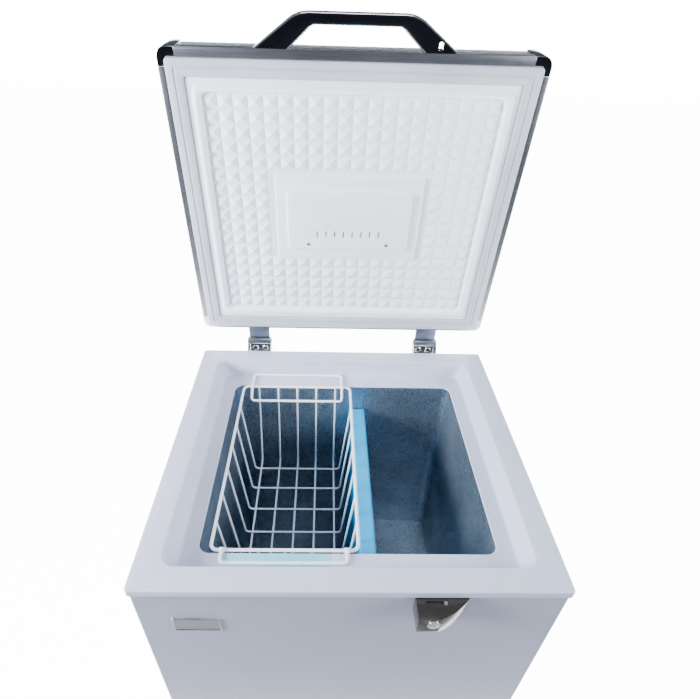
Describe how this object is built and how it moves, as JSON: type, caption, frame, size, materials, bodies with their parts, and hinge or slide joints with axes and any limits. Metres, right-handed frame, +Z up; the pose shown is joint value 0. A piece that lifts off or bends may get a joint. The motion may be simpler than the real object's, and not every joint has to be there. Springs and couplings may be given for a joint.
{
  "type": "chest freezer",
  "caption": "Compact chest freezer with its lid swung open, a wire basket on the inner ledge, a blue upright divider, a front lock and a plated lid handle.",
  "frame": {"origin": "on the floor, below the middle of the whole outline with the lid open", "axes": "+Z up, +Y from the front to the hinges, +X to the right seen from the front"},
  "size_m": [0.565, 0.6078, 1.3813],
  "materials": {
    "shell_paint": "smooth gloss enamel",
    "rim_plastic": "smooth moulded",
    "liner_aluminium": "stucco embossed",
    "galvanised": "zinc plated",
    "foam": "rigid closed-cell foam",
    "chrome_plate": "polished",
    "trim_metal": "brushed",
    "white_plastic": "smooth moulded",
    "white_coating": "dipped coating",
    "gasket_vinyl": "soft vinyl",
    "lock_plastic": "fine grained",
    "bolt_steel": "zinc plated",
    "black_paint": "satin enamel",
    "black_plastic": "moulded",
    "black_rubber": "moulded",
    "copper_tube": "drawn tube",
    "steel_tube": "drawn tube",
    "divider_plastic": "blow moulded",
    "tape_film": "clear film",
    "badge_metal": "satin",
    "lamp_lens": "clear moulded"
  },
  "bodies": {
    "cabinet": {"base_pan": "galvanised", "bay_tubes": "copper_tube", "cable_gland": "black_plastic", "compressor": "black_paint", "compressor_grommets": "black_rubber", "condenser_tubes": "steel_tube", "control_bezel": "white_plastic", "drain_tube": "white_plastic", "evaporator_tube": "steel_tube", "feet": "black_plastic", "filter_drier": "copper_tube", "foam_insulation": "foam", "front_panel": "shell_paint", "hinge_leaves_cabinet": "galvanised", "hinge_pins": "bolt_steel", "hinge_screws_cabinet": "bolt_steel", "hinge_springs": "galvanised", "indicator_lamps": "lamp_lens", "inner_liner": "liner_aluminium", "ledge_tape": "tape_film", "lock_housing": "lock_plastic", "motor_and_pump": "bolt_steel", "nameplate": "badge_metal", "panel_screws": "bolt_steel", "rear_grille": "galvanised", "rear_panel": "shell_paint", "relay_cover": "black_plastic", "rim_foam": "foam", "rim_frame": "rim_plastic", "side_panel_left": "shell_paint", "side_panel_right": "shell_paint", "thermostat": "black_plastic"},
    "lid": {"lid_outer_panel": "shell_paint", "lid_trim_front": "trim_metal", "lid_trim_rear": "trim_metal", "lid_trim_left": "trim_metal", "lid_trim_right": "trim_metal", "corner_caps_front": "chrome_plate", "corner_caps_rear": "white_plastic", "lid_foam": "foam", "lid_liner": "white_plastic", "lid_gasket": "gasket_vinyl", "lamp_cover": "white_plastic", "lamp_board": "white_plastic", "lamp_screws": "bolt_steel", "lid_handle": "chrome_plate", "handle_screws": "bolt_steel", "hinge_leaves_lid": "galvanised", "hinge_screws_lid": "bolt_steel"},
    "basket": {"basket_rail": "white_coating", "basket_cross_wires": "white_coating", "basket_long_wires": "white_coating"},
    "grip_rear": {"basket_grip_rear": "white_coating"},
    "grip_front": {"basket_grip_front": "white_coating"},
    "divider_panel": {"divider": "divider_plastic"},
    "drain_stopper": {"drain_plug": "white_plastic"},
    "drain_outlet_cap": {"drain_cap": "white_plastic"},
    "key_cylinder": {"lock_cylinder": "bolt_steel"},
    "latch_bolt": {"lock_bolt": "bolt_steel"},
    "knob": {"thermostat_knob": "black_plastic"}
  },
  "joints": [
    {"name": "lid_hinge", "type": "hinge", "parent": "cabinet", "child": "lid", "pos_m": [0, 0.25729, 0.806], "axis": [-1, 0, 0], "range_deg": [-84.59, 5.3]},
    {"name": "basket_lift", "type": "slide", "parent": "cabinet", "child": "basket", "axis": [0, 0, 1], "range_m": [0, 0.28]},
    {"name": "grip_rear_swing", "type": "hinge", "parent": "basket", "child": "grip_rear", "pos_m": [-0.09, 0.15659, 0.765], "axis": [1, 0, 0], "range_deg": [0, 50]},
    {"name": "grip_front_swing", "type": "hinge", "parent": "basket", "child": "grip_front", "pos_m": [-0.09, -0.19801, 0.765], "axis": [-1, 0, 0], "range_deg": [0, 50]},
    {"name": "divider_lift", "type": "slide", "parent": "cabinet", "child": "divider_panel", "axis": [0, 0, 1], "range_m": [0, 0.45]},
    {"name": "lock_turn", "type": "hinge", "parent": "cabinet", "child": "key_cylinder", "pos_m": [0.1005, -0.29321, 0.773], "axis": [0, 1, 0], "range_deg": [0, 90]},
    {"name": "bolt_rise", "type": "slide", "parent": "cabinet", "child": "latch_bolt", "axis": [0, 0, 1], "range_m": [0, 0.0261]},
    {"name": "thermostat_turn", "type": "hinge", "parent": "cabinet", "child": "knob", "pos_m": [0.238, -0.28321, 0.084], "axis": [0, -1, 0], "range_deg": [0, 270]},
    {"name": "drain_plug_pull", "type": "slide", "parent": "cabinet", "child": "drain_stopper", "axis": [0, 0, 1], "range_m": [0, 0.03]},
    {"name": "drain_cap_pull", "type": "slide", "parent": "cabinet", "child": "drain_outlet_cap", "axis": [0, -1, 0], "range_m": [0, 0.03]}
  ],
  "couplings": [
    {"joint": "bolt_rise", "follows": "lock_turn", "m_per_rad": 0.016552}
  ]
}
